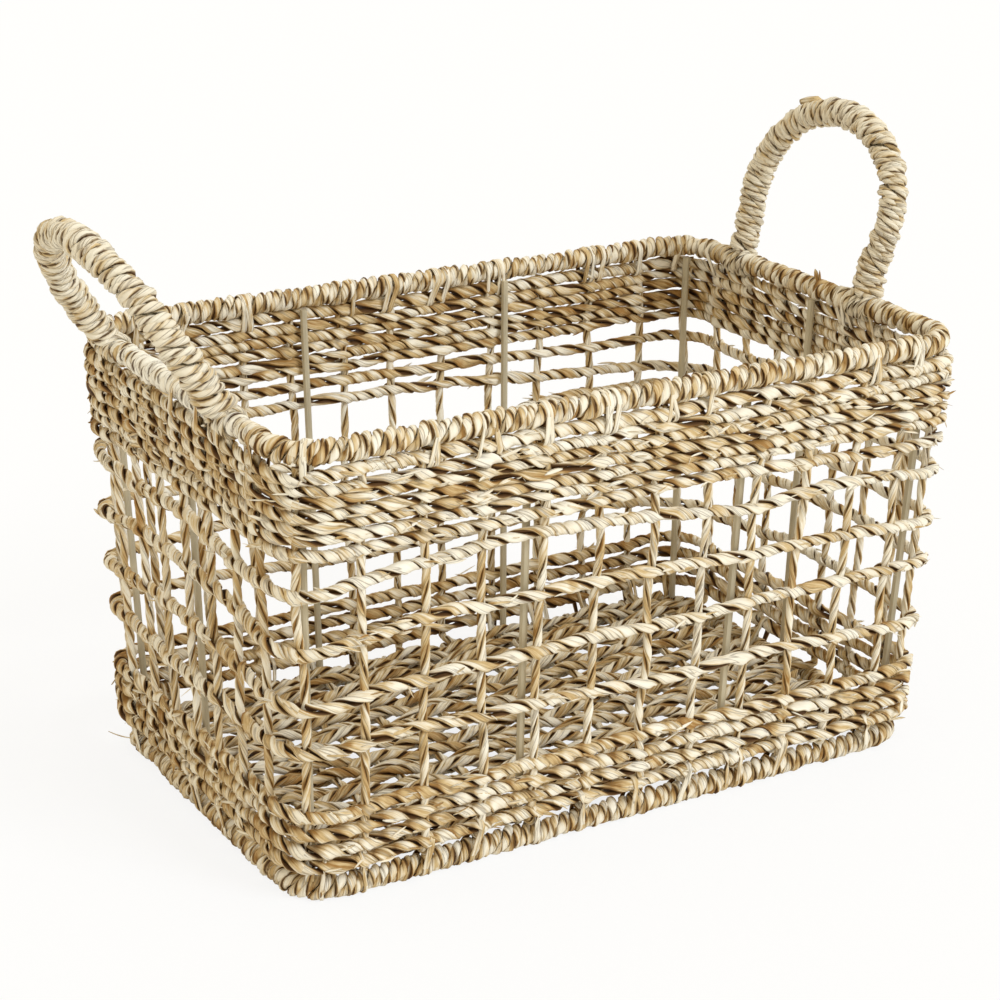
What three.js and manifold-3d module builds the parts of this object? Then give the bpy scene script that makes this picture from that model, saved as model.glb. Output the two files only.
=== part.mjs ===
// A magazine basket of woven grass on a wire frame, with two wrapped hoop handles.
// Sizes are millimetres. X runs along the long sides, Y along the short ones, and Z is up.
// The origin is on the floor, under the middle of the whole object with its handles.
import * as THREE from "three";
import { mergeVertices } from "three/addons/utils/BufferGeometryUtils.js";
import Module from "manifold-3d";

// The two rings that give the basket its size, measured along the middle of their wrapping.
const rimLength = 386.4;
const rimWidth = 237.2;
const baseLength = 368.4;
const baseWidth = 215;
const ringRise = 226.3;
const cornerRadius = 22;

// Wire and the grass wrapping on it.
const wireDiameter = 4;
const ringWrapDiameter = 12;
const handleWrapDiameter = 15.5;
const wrapRibDepth = 0.8;
const seamGap = 0.6;

// The upright stakes and the rows that are woven through them.
const stakeWidth = 5.5;
const stakeThickness = 3.6;
const rowHeight = 6.4;
const bandRowHeight = 5.8;
const rowThickness = 2.2;
const foldRadius = 3;
const longSpaces = 12;
const shortSpaces = 8;
const stakesPerUpright = 4;

// The stakes of a long wall aren't spaced evenly: in its middle they stand this far to one side.
const frontStakeShift = 4.5;
const backStakeShift = 12;

// How far the middle of the woven wall stands outside the middle of each ring.
const wallProudAtBase = 4;
const wallProudAtRim = 1.5;

// Rows, counted from the floor: a close group, open rows, and a close band under the rim.
const lowRowCount = 4;
const lowRowGap = 2.6;
const bandRowCount = 7;
const bandRowGap = 0.3;
const openRowShares = [0.23, 0.45, 0.655, 0.865];
const openWander = 14;
const closeWander = 0.5;

// How far each open row, and the lowest row of the band, lies above or below its height.
// There is a share for every second stake, from the front left corner.
const openWanderShares = [
  [
    0.2, 0.32, 0.1, -0.18, 0, -0.2, -0.42, -0.25, 0.05, -0.36,
    -0.64, 0, -0.05, -0.2, -0.1, 0.15, 0.2, 0.05, -0.1, 0.05,
  ],
  [
    -0.25, 0.05, 0.08, 0, -0.05, 0.08, -0.05, 0.15, 0.2, -0.05,
    -0.15, -0.2, 0.05, 0.2, 0.15, -0.05, -0.2, 0, 0.1, -0.1,
  ],
  [
    -0.25, 0.3, 0.2, 0.1, -0.08, -0.12, -0.42, -0.15, 0.1, 0.2,
    0.57, 0.93, 0.57, 0.2, -0.1, -0.2, -0.1, 0.15, 0.3, 0,
  ],
  [
    -0.22, 0.32, 0.48, 0.25, -0.3, -0.1, -0.38, -0.3, -0.29, -0.57,
    -0.64, -0.29, 0.18, 0.39, 0.43, 0.43, 0.21, -0.14, 0.15, -0.3,
  ],
  [
    -0.11, -0.08, -0.08, -0.08, -0.14, -0.36, -0.43, -0.46, -0.5, -0.57,
    -0.57, -0.5, -0.36, -0.25, -0.21, -0.21, -0.14, -0.11, -0.11, -0.11,
  ],
];

// The woven mat of the base.
const matStripsPerSpace = 2;
const matStripGap = 1.2;
const matEdgeWidth = 7;

// Handles: hoops of wrapped wire, lashed to the short sides of the rim. Their feet are bent in or out.
const handleTurns = 38;
const leftHoop = {
  side: -1,
  span: 0.552277 * rimWidth,
  rise: 96,
  lean: THREE.MathUtils.degToRad(32.4),
  shift: 0.044266 * rimWidth,
  frontFootIn: 0,
  backFootIn: -6,
};
const rightHoop = {
  side: 1,
  span: 0.529089 * rimWidth,
  rise: 97,
  lean: THREE.MathUtils.degToRad(13),
  shift: 0.046374 * rimWidth,
  frontFootIn: 9,
  backFootIn: 5,
};
const straightFoot = 5;
const bentShare = 0.8;
const lashingWidth = 16;
const lashingThickness = 1.25;
const lashingTurns = 3;

// Clearances.
const seat = 0.3;
const weaveGap = 0.5;
const lashingClearance = 0.25;
const wireClearance = 0.4;

// Facets.
const wireSides = 6;
const stakeSides = 6;
const wrapSides = 8;
const lashingSides = 12;
const cornerSteps = 4;
const cornerFlatShare = 0.6;
const foldSteps = 2;
const archSteps = 36;
const ringsPerBore = 3;

// Sizes that follow from the ones above.
const wireRadius = wireDiameter / 2;
const ringWrapRadius = ringWrapDiameter / 2;
const handleWrapRadius = handleWrapDiameter / 2;
const flatShare = Math.cos(Math.PI / wrapSides);
const baseRingHeight = ringWrapRadius * flatShare;
const rowSwing = stakeThickness / 2 + weaveGap + rowThickness / 2;
const wallHalf = rowSwing + rowThickness / 2;
const lashingInner = ringWrapRadius + lashingClearance;
const lashingOuter = lashingInner + lashingThickness;
const stakeTop = ringRise - lashingOuter - seat;
const baseLevel = ringWrapRadius + seat + stakeThickness / 2;
const uprightInset = wallHalf + seat + wireRadius;
const uprightShift = stakeWidth / 2 + weaveGap + wireRadius;
const stationCount = 2 * (longSpaces + shortSpaces);

const grass = new THREE.MeshStandardMaterial({ color: 0xc8b487, roughness: 0.8, metalness: 0 });
const paleGrass = new THREE.MeshStandardMaterial({ color: 0xe1d4b4, roughness: 0.75, metalness: 0 });
const paintedWire = new THREE.MeshStandardMaterial({ color: 0xafa58c, roughness: 0.45, metalness: 0.3 });

const wasm = await Module();
wasm.setup();

// Skins over rings of points

const vec = (x, y, z) => new THREE.Vector3(x, y, z);
const up = vec(0, 0, 1);

// The corners of a round section, with flats below, above and at the sides.
function roundSection(radius, sides) {
  return Array.from({ length: sides }, (_, i) => {
    const turn = ((i + 0.5) * 2 * Math.PI) / sides;
    return [radius * Math.cos(turn), radius * Math.sin(turn)];
  });
}

// The corners of a flat strand: four for a strip, or six for a stake with pointed edges.
function strandSection(width, thickness, sides) {
  const halfWidth = width / 2;
  const halfThickness = thickness / 2;
  const strip = [
    [halfWidth, -halfThickness],
    [halfWidth, halfThickness],
    [-halfWidth, halfThickness],
    [-halfWidth, -halfThickness],
  ];
  if (sides === strip.length) return strip;
  return Array.from({ length: sides }, (_, i) => {
    const turn = (i * 2 * Math.PI) / sides;
    return [halfWidth * Math.cos(turn), (halfThickness * Math.sin(turn)) / Math.sin(Math.PI / 3)];
  });
}

// The direction of travel at each point, halfway between the stretches that meet there.
function tangents(points, loop) {
  const last = points.length - 1;
  return points.map((point, i) => {
    const before = points[i === 0 ? (loop ? last : 0) : i - 1];
    const after = points[i === last ? (loop ? 0 : last) : i + 1];
    const arriving = point.clone().sub(before).normalize();
    const leaving = after.clone().sub(point).normalize();
    return arriving.add(leaving).normalize();
  });
}

// Rings of the section along the points. The section's first axis keeps the wide direction.
function ringsAlong(points, wide, sectionAt, loop = false) {
  return tangents(points, loop).map((direction, i) => {
    const thin = direction.cross(wide).normalize();
    return sectionAt(i).map(([w, t]) => points[i].clone().addScaledVector(wide, w).addScaledVector(thin, t));
  });
}

function geometryOf(points, index) {
  const geometry = new THREE.BufferGeometry();
  geometry.setAttribute("position", new THREE.Float32BufferAttribute(points.flatMap((p) => p.toArray()), 3));
  geometry.setIndex(index);
  geometry.computeVertexNormals();
  return geometry;
}

// The triangles between each ring and the next, facing out, or in where the rings line a bore.
function wallIndex(ringCount, sides, start, { loop = false, inward = false } = {}) {
  const index = [];
  const spans = loop ? ringCount : ringCount - 1;
  for (let i = 0; i < spans; i += 1) {
    const next = (i + 1) % ringCount;
    for (let j = 0; j < sides; j += 1) {
      const a = start + i * sides + j;
      const b = start + i * sides + ((j + 1) % sides);
      const c = start + next * sides + ((j + 1) % sides);
      const d = start + next * sides + j;
      if (inward) index.push(a, c, b, a, d, c);
      else index.push(a, b, c, a, c, d);
    }
  }
  return index;
}

// A closed ring, or a strand with two flat ends.
function solidSkin(rings, loop = false) {
  const sides = rings[0].length;
  const index = wallIndex(rings.length, sides, 0, { loop });
  const end = (rings.length - 1) * sides;
  for (let j = 1; j < sides - 1 && !loop; j += 1) {
    index.push(0, j + 1, j);
    index.push(end, end + j, end + j + 1);
  }
  return geometryOf(rings.flat(), index);
}

// A tube with a bore, open at both ends.
function sleeveSkin(outer, inner) {
  const sides = outer[0].length;
  const innerStart = outer.length * sides;
  const index = wallIndex(outer.length, sides, 0);
  index.push(...wallIndex(inner.length, sides, innerStart, { inward: true }));
  const outerEnd = (outer.length - 1) * sides;
  const innerEnd = innerStart + (inner.length - 1) * sides;
  for (let j = 0; j < sides; j += 1) {
    const k = (j + 1) % sides;
    index.push(j, innerStart + j, k, k, innerStart + j, innerStart + k);
    index.push(outerEnd + j, outerEnd + k, innerEnd + j, outerEnd + k, innerEnd + k, innerEnd + j);
  }
  return geometryOf([...outer, ...inner].flat(), index);
}

const strand = (points, wide, section, loop = false) =>
  solidSkin(ringsAlong(points, wide, () => section, loop), loop);

// Several closed geometries joined into one.
function joined(geometries) {
  const solids = geometries.map((geometry) => {
    const bare = geometry.clone();
    bare.deleteAttribute("normal");
    const merged = mergeVertices(bare);
    const mesh = new wasm.Mesh({
      numProp: 3,
      vertProperties: merged.attributes.position.array,
      triVerts: new Uint32Array(merged.index.array),
    });
    return new wasm.Manifold(mesh);
  });
  const made = solids.reduce((sum, solid) => sum.add(solid)).getMesh();
  const geometry = new THREE.BufferGeometry();
  geometry.setAttribute("position", new THREE.BufferAttribute(made.vertProperties, made.numProp));
  geometry.setIndex(new THREE.BufferAttribute(made.triVerts, 1));
  geometry.computeVertexNormals();
  return geometry;
}

// Places on the basket, with the middle of the base ring at height zero

const shareUp = (z) => z / ringRise;
const halfLength = (z) => THREE.MathUtils.lerp(baseLength, rimLength, shareUp(z)) / 2;
const halfWidth = (z) => THREE.MathUtils.lerp(baseWidth, rimWidth, shareUp(z)) / 2;
const wallProud = (z) => THREE.MathUtils.lerp(wallProudAtBase, wallProudAtRim, shareUp(z));

// Stakes stand at stations, numbered from the front left corner towards the front right one.
// Each station gives its place along the ring as shares of the half sizes, its outward side,
// and how far it stands to the right of that place.
function station(k) {
  const corners = [0, longSpaces, longSpaces + shortSpaces, 2 * longSpaces + shortSpaces];
  const side = corners.filter((corner) => corner <= k).length - 1;
  const spaces = side % 2 === 0 ? longSpaces : shortSpaces;
  const along = (2 * (k - corners[side])) / spaces - 1;
  const x = [along, 1, -along, -1][side];
  const y = [-1, along, 1, -along][side];
  const corner = corners.includes(k);
  const out = corner ? vec(x, y, 0).normalize() : vec([0, 1, 0, -1][side], [-1, 0, 1, 0][side], 0);
  const shift = [frontStakeShift, 0, -backStakeShift, 0][side] * (1 - along ** 2);
  return { x, y, out, corner, shift };
}

// A point on the wall at a station and a height, moved out from the ring by some distance.
function ringPoint(k, z, outward) {
  const { x, y, out, corner, shift } = station(k);
  const point = vec(x * halfLength(z) + shift, y * halfWidth(z), z);
  if (corner) point.addScaledVector(out, cornerRadius - cornerRadius * Math.SQRT2);
  return point.addScaledVector(out, outward);
}

const wallPoint = (k, z, outward = 0) => ringPoint(k, z, wallProud(z) + outward);

// The middle line of a ring, from a seam in the middle of the back, once round.
function ringLine(length, width, z, gap) {
  const x = length / 2 - cornerRadius;
  const y = width / 2 - cornerRadius;
  const line = [vec(-gap / 2, width / 2, z)];
  const middles = [vec(-x, y, z), vec(-x, -y, z), vec(x, -y, z), vec(x, y, z)];
  middles.forEach((middle, corner) => {
    for (let i = 0; i <= cornerSteps; i += 1) {
      const turn = ((corner + 1 + i / cornerSteps) * Math.PI) / 2;
      line.push(vec(cornerRadius * Math.cos(turn), cornerRadius * Math.sin(turn), 0).add(middle));
    }
  });
  line.push(vec(gap / 2, width / 2, z));
  return line;
}

// Wire frame

function ringWire(length, width, z) {
  const line = ringLine(length, width, z, 0).slice(1, -1);
  return strand(line, up, roundSection(wireRadius, wireSides), true);
}

// An upright stands inside the weave, close beside a stake, or behind it at a corner.
// It is cut to end just clear of the wrapping above and below it.
function uprightWire(k) {
  const { out, corner } = station(k);
  const beside = out.clone().cross(up).multiplyScalar(corner ? 0 : uprightShift);
  const reach = (proud) => {
    const nearest = Math.max(uprightInset - wireRadius - proud, 0);
    return Math.sqrt(ringWrapRadius ** 2 - nearest ** 2) + seat;
  };
  const foot = wallPoint(k, reach(wallProudAtBase), -uprightInset).add(beside);
  const head = wallPoint(k, ringRise - reach(wallProudAtRim), -uprightInset).add(beside);
  const wire = new THREE.CylinderGeometry(wireRadius, wireRadius, head.distanceTo(foot), wrapSides);
  const along = head.clone().sub(foot).normalize();
  wire.applyQuaternion(new THREE.Quaternion().setFromUnitVectors(vec(0, 1, 0), along));
  wire.translate(...head.add(foot).multiplyScalar(0.5).toArray());
  return wire;
}

// Wrapping on the rings: a sleeve round the wire that starts and ends at the seam.

function ringWrap(length, width, z) {
  const line = ringLine(length, width, z, seamGap);
  const outer = roundSection(ringWrapRadius, wrapSides);
  const bore = roundSection((wireRadius + wireClearance) / flatShare, wrapSides);
  return sleeveSkin(ringsAlong(line, up, () => outer), ringsAlong(line, up, () => bore));
}

// Stakes

// The bend between an upright stretch and one that runs in across the base.
function fold(wallFoot, inward, level) {
  const middle = wallFoot.clone().addScaledVector(inward, foldRadius);
  middle.z = level + foldRadius;
  return Array.from({ length: foldSteps + 1 }, (_, i) => {
    const turn = ((i / foldSteps) * Math.PI) / 2;
    return middle
      .clone()
      .addScaledVector(inward, -foldRadius * Math.cos(turn))
      .addScaledVector(up, -foldRadius * Math.sin(turn));
  });
}

// A stake goes down one wall, across the base through the given points and up the other wall.
function throughStake(k, opposite, crossing, wide) {
  const foldHeight = baseLevel + foldRadius;
  const wallStretch = (at) => {
    const foot = wallPoint(at, foldHeight);
    return [wallPoint(at, stakeTop), ...fold(foot, station(at).out.clone().negate(), baseLevel)];
  };
  const points = [...wallStretch(k), ...crossing, ...wallStretch(opposite).reverse()];
  return strand(points, wide, strandSection(stakeWidth, stakeThickness, stakeSides));
}

const acrossFrom = (i) => 2 * longSpaces + shortSpaces - i;
const baseY = (j) => ((2 * j) / shortSpaces - 1) * halfWidth(baseLevel);
const mostCrossings = longSpaces - 1;

// Where a cross stake lies on the base, at some distance from the middle line.
function baseX(i, y) {
  const front = wallPoint(i, baseLevel);
  return front.lerp(wallPoint(acrossFrom(i), baseLevel), (1 + y / -front.y) / 2).x;
}

// What lies lengthways goes over one cross stake and under the next.
function overAndUnder(y, swing, startsOver) {
  return Array.from({ length: mostCrossings }, (_, i) => {
    const over = i % 2 === (startsOver ? 0 : 1);
    return vec(baseX(i + 1, y), y, baseLevel + (over ? swing : -swing));
  });
}

const crossStake = (i) => throughStake(i, acrossFrom(i), [], vec(1, 0, 0));

function longStake(j) {
  const swing = stakeThickness + weaveGap;
  const crossing = overAndUnder(baseY(j), swing, true);
  return throughStake(stationCount - j, longSpaces + j, crossing, vec(0, 1, 0));
}

function cornerStake(k) {
  const foot = wallPoint(k, baseLevel - stakeThickness / 2);
  const wide = station(k).out.clone().cross(up);
  return strand([wallPoint(k, stakeTop), foot], wide, strandSection(stakeWidth, stakeThickness, stakeSides));
}

// Rows

function rowHeights() {
  const lowest = baseLevel + foldRadius + closeWander + rowHeight / 2;
  const low = Array.from({ length: lowRowCount }, (_, i) => lowest + i * (rowHeight + lowRowGap));
  const highest = stakeTop - closeWander - bandRowHeight / 2;
  const band = Array.from({ length: bandRowCount }, (_, i) => highest - i * (bandRowHeight + bandRowGap));
  const open = openRowShares.map((share) => THREE.MathUtils.lerp(low.at(-1), band.at(-1), share));
  return [...low, ...open, ...band.reverse()];
}

const isBandRow = (row) => row >= lowRowCount + openRowShares.length;

// Hand-woven rows rise and fall as they go round. Close rows keep together.
function wander(row, k) {
  const shares = openWanderShares[row - lowRowCount];
  if (!shares) return closeWander * Math.sin((6 * Math.PI * k) / stationCount);
  const place = (k / stationCount) * shares.length;
  const before = shares[Math.floor(place)];
  const after = shares[Math.ceil(place) % shares.length];
  return openWander * THREE.MathUtils.lerp(before, after, place % 1);
}

// Where a row rounds a corner it lies flat against the corner stake, between two straight stretches.
function cornerPoints(k, z, swing) {
  const { x, y, out } = station(k);
  const middle = vec(x * (halfLength(z) - cornerRadius), y * (halfWidth(z) - cornerRadius), z);
  const travel = up.clone().cross(out).multiplyScalar((cornerFlatShare * stakeWidth) / 2);
  const tangentPoint = (neighbour) => {
    const straight = middle.clone().sub(wallPoint(neighbour, z, -wallProud(z)));
    const beforeArc = straight.projectOnPlane(station(neighbour).out).length();
    const share = beforeArc / (beforeArc + (cornerRadius * Math.PI) / 4);
    const outward = cornerRadius + wallProud(z) + swing * (2 * share - 1);
    return middle.clone().addScaledVector(station(neighbour).out, outward);
  };
  const corner = wallPoint(k, z, swing);
  return [
    tangentPoint((k + stationCount - 1) % stationCount),
    corner.clone().sub(travel),
    corner.clone().add(travel),
    tangentPoint(k + 1),
  ];
}

// A row passes outside one stake and inside the next, and its neighbours do the opposite.
function wovenRow(row, z) {
  const points = [];
  for (let k = 0; k < stationCount; k += 1) {
    const swing = (k + row) % 2 === 0 ? rowSwing : -rowSwing;
    const level = z + wander(row, k);
    if (station(k).corner) points.push(...cornerPoints(k, level, swing));
    else points.push(wallPoint(k, level, swing));
  }
  const height = isBandRow(row) ? bandRowHeight : rowHeight;
  return strand(points, up, strandSection(height, rowThickness, 4), true);
}

// How far the floor of the base ring reaches to each side of the middle, at some distance along it.
function roomInBaseRing(x) {
  const pastCorner = Math.max(x - (baseLength / 2 - cornerRadius), 0);
  const insideCorner = cornerRadius - ringWrapRadius - weaveGap;
  return baseWidth / 2 - cornerRadius + Math.sqrt(insideCorner ** 2 - pastCorner ** 2);
}

// Base mat: strips laid lengthways between the long stakes, held by a strip at each end.
// It lies inside the base ring's wrapping and the feet of the uprights.
function baseMat() {
  const swing = (stakeThickness + rowThickness) / 2 + weaveGap;
  const low = baseLevel - swing;
  const lastCrossing = Math.max(baseX(mostCrossings, 0), baseX(mostCrossings, -baseWidth / 2));
  const endX = lastCrossing + stakeWidth / 2 + weaveGap + matEdgeWidth / 2;
  const insideUprights = baseWidth / 2 + wallProudAtBase - uprightInset - wireRadius - weaveGap;
  const limit = Math.min(insideUprights, roomInBaseRing(endX + matEdgeWidth / 2));
  const pieces = [];
  for (let j = 0; j < shortSpaces; j += 1) {
    const left = j === 0 ? -limit : baseY(j) + stakeWidth / 2;
    const right = j === shortSpaces - 1 ? limit : baseY(j + 1) - stakeWidth / 2;
    const pitch = (right - left - matStripGap) / matStripsPerSpace;
    const section = strandSection(pitch - matStripGap, rowThickness, 4);
    for (let n = 0; n < matStripsPerSpace; n += 1) {
      const y = left + matStripGap / 2 + (n + 0.5) * pitch;
      const line = [vec(-endX, y, low), ...overAndUnder(y, swing, false), vec(endX, y, low)];
      pieces.push(strand(line, vec(0, 1, 0), section));
    }
  }
  const edge = strandSection(matEdgeWidth, rowThickness, 4);
  [-endX, endX].forEach((x) => {
    pieces.push(strand([vec(x, -limit, low), vec(x, limit, low)], vec(1, 0, 0), edge));
  });
  return joined(pieces);
}

// Handles, in their own frame: Y along the rim, Z up through the hoop, turned to their lean

// The middle line of the hoop, from the front foot over the top to the back one.
class HoopLine extends THREE.Curve {
  constructor(hoop) {
    super();
    this.hoop = hoop;
    this.footHeight = lashingOuter + seat;
    this.arch = hoop.span / 2;
    this.leg = hoop.rise - this.arch - this.footHeight;
    this.length = 2 * this.leg + Math.PI * this.arch;
  }

  // The hoop before its feet are bent.
  plainPoint(walked) {
    if (walked < this.leg) return vec(0, -this.arch, this.footHeight + walked);
    const left = this.length - walked;
    if (left < this.leg) return vec(0, this.arch, this.footHeight + left);
    const turn = (walked - this.leg) / this.arch;
    return vec(0, -this.arch * Math.cos(turn), this.hoop.rise - this.arch + this.arch * Math.sin(turn));
  }

  getPoint(t) {
    const point = this.plainPoint(t * this.length);
    const straight = this.footHeight + straightFoot;
    const height = THREE.MathUtils.mapLinear(point.z, straight, bentShare * this.hoop.rise, 0, 1);
    const bend = (1 + Math.cos(Math.PI * THREE.MathUtils.clamp(height, 0, 1))) / 2;
    point.y += bend * (point.y < 0 ? this.hoop.frontFootIn : -this.hoop.backFootIn);
    return point;
  }
}

function handleWire(hoop) {
  const section = new THREE.Shape().absarc(0, 0, wireRadius, 0, 2 * Math.PI);
  const line = new HoopLine(hoop);
  return new THREE.ExtrudeGeometry(section, {
    steps: archSteps,
    curveSegments: wireSides / 2,
    extrudePath: line,
  });
}

// Each turn of the wrapping is a rib: a full ring, then a slightly smaller one.
function handleWrap(hoop) {
  const line = new HoopLine(hoop);
  const steps = 2 * handleTurns;
  const outerLine = Array.from({ length: steps + 1 }, (_, i) => line.getPoint(i / steps));
  const boreLine = outerLine.filter((_, i) => i % ringsPerBore === 0 || i === steps);
  const crest = roundSection(handleWrapRadius, wrapSides);
  const valley = roundSection(handleWrapRadius - wrapRibDepth, wrapSides);
  const bore = roundSection((wireRadius + wireClearance) / flatShare, wrapSides);
  const across = vec(1, 0, 0);
  const outer = ringsAlong(outerLine, across, (i) => (i % 2 === 0 ? valley : crest));
  return sleeveSkin(outer, ringsAlong(boreLine, across, () => bore));
}

// The lashing: a few turns side by side that run loosely round the rim.
function lashing(y) {
  const inner = lashingInner / Math.cos(Math.PI / lashingSides);
  const turnWidth = lashingWidth / lashingTurns;
  const profile = [new THREE.Vector2(inner, -lashingWidth / 2)];
  for (let turn = 0; turn < lashingTurns; turn += 1) {
    const start = turn * turnWidth - lashingWidth / 2;
    profile.push(new THREE.Vector2(lashingOuter - lashingThickness / 3, start));
    profile.push(new THREE.Vector2(lashingOuter, start + turnWidth / 2));
  }
  profile.push(new THREE.Vector2(lashingOuter - lashingThickness / 3, lashingWidth / 2));
  profile.push(new THREE.Vector2(inner, lashingWidth / 2));
  profile.push(profile[0].clone());
  return new THREE.LatheGeometry(profile, lashingSides).translate(0, y, 0);
}

function handle(hoop, name) {
  const group = new THREE.Group();
  add(group, name + "_handle_wire", handleWire(hoop), paintedWire);
  add(group, name + "_handle_wrap", handleWrap(hoop), paleGrass);
  add(group, name + "_handle_lashing_front", lashing(hoop.frontFootIn - hoop.span / 2), paleGrass);
  add(group, name + "_handle_lashing_back", lashing(hoop.span / 2 - hoop.backFootIn), paleGrass);
  group.position.set((hoop.side * rimLength) / 2, hoop.shift, ringRise);
  group.rotation.y = hoop.side * hoop.lean;
  return group;
}

// Assembly

function add(group, name, geometry, material) {
  const mesh = new THREE.Mesh(geometry, material);
  mesh.name = name;
  group.add(mesh);
}

const numbered = (name, number) => name + "_" + String(number).padStart(2, "0");

const basket = new THREE.Group();
add(basket, "rim_wire", ringWire(rimLength, rimWidth, ringRise), paintedWire);
add(basket, "base_wire", ringWire(baseLength, baseWidth, 0), paintedWire);
for (let k = 0; k < stationCount; k += stakesPerUpright) {
  add(basket, numbered("upright_wire", k / stakesPerUpright + 1), uprightWire(k), paintedWire);
}
add(basket, "rim_wrap", ringWrap(rimLength, rimWidth, ringRise), grass);
add(basket, "base_wrap", ringWrap(baseLength, baseWidth, 0), grass);
for (let i = 1; i < longSpaces; i += 1) add(basket, numbered("cross_stake", i), crossStake(i), grass);
for (let j = 1; j < shortSpaces; j += 1) add(basket, numbered("long_stake", j), longStake(j), grass);
for (let k = 0, count = 1; k < stationCount; k += 1) {
  if (station(k).corner) {
    add(basket, numbered("corner_stake", count), cornerStake(k), grass);
    count += 1;
  }
}
rowHeights().forEach((z, row) => add(basket, numbered("woven_row", row + 1), wovenRow(row, z), grass));
add(basket, "base_mat", baseMat(), grass);
basket.add(handle(leftHoop, "left"));
basket.add(handle(rightHoop, "right"));

// The handles lean out by different amounts, so the middle of the whole lies beside the basket's.
const reachOut = (hoop) => hoop.rise * Math.sin(hoop.lean);
basket.position.set((reachOut(leftHoop) - reachOut(rightHoop)) / 2, 0, baseRingHeight);

const object = new THREE.Group();
object.add(basket);

export default object;
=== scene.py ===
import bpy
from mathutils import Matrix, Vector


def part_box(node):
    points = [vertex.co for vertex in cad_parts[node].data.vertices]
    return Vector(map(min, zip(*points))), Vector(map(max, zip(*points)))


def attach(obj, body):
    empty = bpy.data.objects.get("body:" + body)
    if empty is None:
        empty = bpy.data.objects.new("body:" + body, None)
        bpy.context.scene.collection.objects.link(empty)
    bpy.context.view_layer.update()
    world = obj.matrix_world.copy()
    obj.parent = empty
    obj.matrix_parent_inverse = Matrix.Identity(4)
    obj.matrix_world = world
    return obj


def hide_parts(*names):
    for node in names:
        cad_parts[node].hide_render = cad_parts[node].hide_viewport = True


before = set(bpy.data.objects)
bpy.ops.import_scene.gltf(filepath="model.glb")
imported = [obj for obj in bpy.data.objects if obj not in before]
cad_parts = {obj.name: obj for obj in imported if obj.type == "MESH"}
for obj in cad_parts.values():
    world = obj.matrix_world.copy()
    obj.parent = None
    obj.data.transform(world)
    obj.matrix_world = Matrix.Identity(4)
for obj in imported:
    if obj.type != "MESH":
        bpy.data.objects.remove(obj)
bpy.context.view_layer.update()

import math
from functools import partial
from typing import NamedTuple

import bpy
import numpy as np
from bpy.props import FloatProperty, FloatVectorProperty, IntProperty, PointerProperty
from mathutils import Matrix, Vector

bl_info = {
    "name": "Grass Basket",
    "version": (1, 0, 0),
    "blender": (4, 5, 0),
    "location": "3D View > Sidebar > Basket",
    "description": "Weaves a grass magazine basket on its wire frame",
    "category": "Object",
}

# Sizes and places of the frame


def ring_of(node):
    """The middle of a wrapped ring, and its half sizes along the middle of the wrapping."""
    low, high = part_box(node)
    wrap = (high.z - low.z) / 2
    return (low + high) / 2, (high.x - low.x) / 2 - wrap, (high.y - low.y) / 2 - wrap


RIM_MIDDLE, RIM_HALF_X, RIM_HALF_Y = ring_of("rim_wrap")
BASE_MIDDLE, BASE_HALF_X, BASE_HALF_Y = ring_of("base_wrap")
RISE = RIM_MIDDLE.z - BASE_MIDDLE.z
ORIGIN = np.array((BASE_MIDDLE.x, 0.0, BASE_MIDDLE.z))
UP = np.array((0.0, 0.0, 1.0))
ROW_COUNT = sum(name.startswith("woven_row_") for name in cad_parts)


def setting(kind, name, default, description, **rest):
    """A value that a user can change."""
    return kind(name=name, default=default, description=description, **rest)


length = partial(setting, FloatProperty, unit="LENGTH", precision=4)
angle = partial(setting, FloatProperty, subtype="ANGLE")
portion = partial(setting, FloatProperty)
whole = partial(setting, IntProperty)
colour = partial(setting, FloatVectorProperty, subtype="COLOR", min=0, max=1)


class BasketSizes(bpy.types.PropertyGroup):
    """The shape of the basket that the strands follow."""

    corner_radius: length("Corner radius", 0.022, "Bend of the rings at the corners")
    proud_at_base: length("Proud at the base", 0.004, "How far the wall stands outside the base ring")
    proud_at_rim: length("Proud at the rim", 0.0015, "How far the wall stands outside the rim")
    long_spaces: whole("Long spaces", 12, "Stake spaces on a long side")
    short_spaces: whole("Short spaces", 8, "Stake spaces on a short side")
    front_shift: length("Front shift", 0.0045, "How far the middle stakes of the front stand to the right")
    back_shift: length("Back shift", 0.012, "How far the middle stakes of the back stand to the left")
    base_level: length("Base level", 0.0081, "Height of the base stakes above the base ring")
    fold_radius: length("Fold radius", 0.003, "Bend of a stake where wall and base meet")
    low_rows: whole("Low rows", 4, "Close rows at the floor")
    band_rows: whole("Band rows", 7, "Close rows under the rim")


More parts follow.
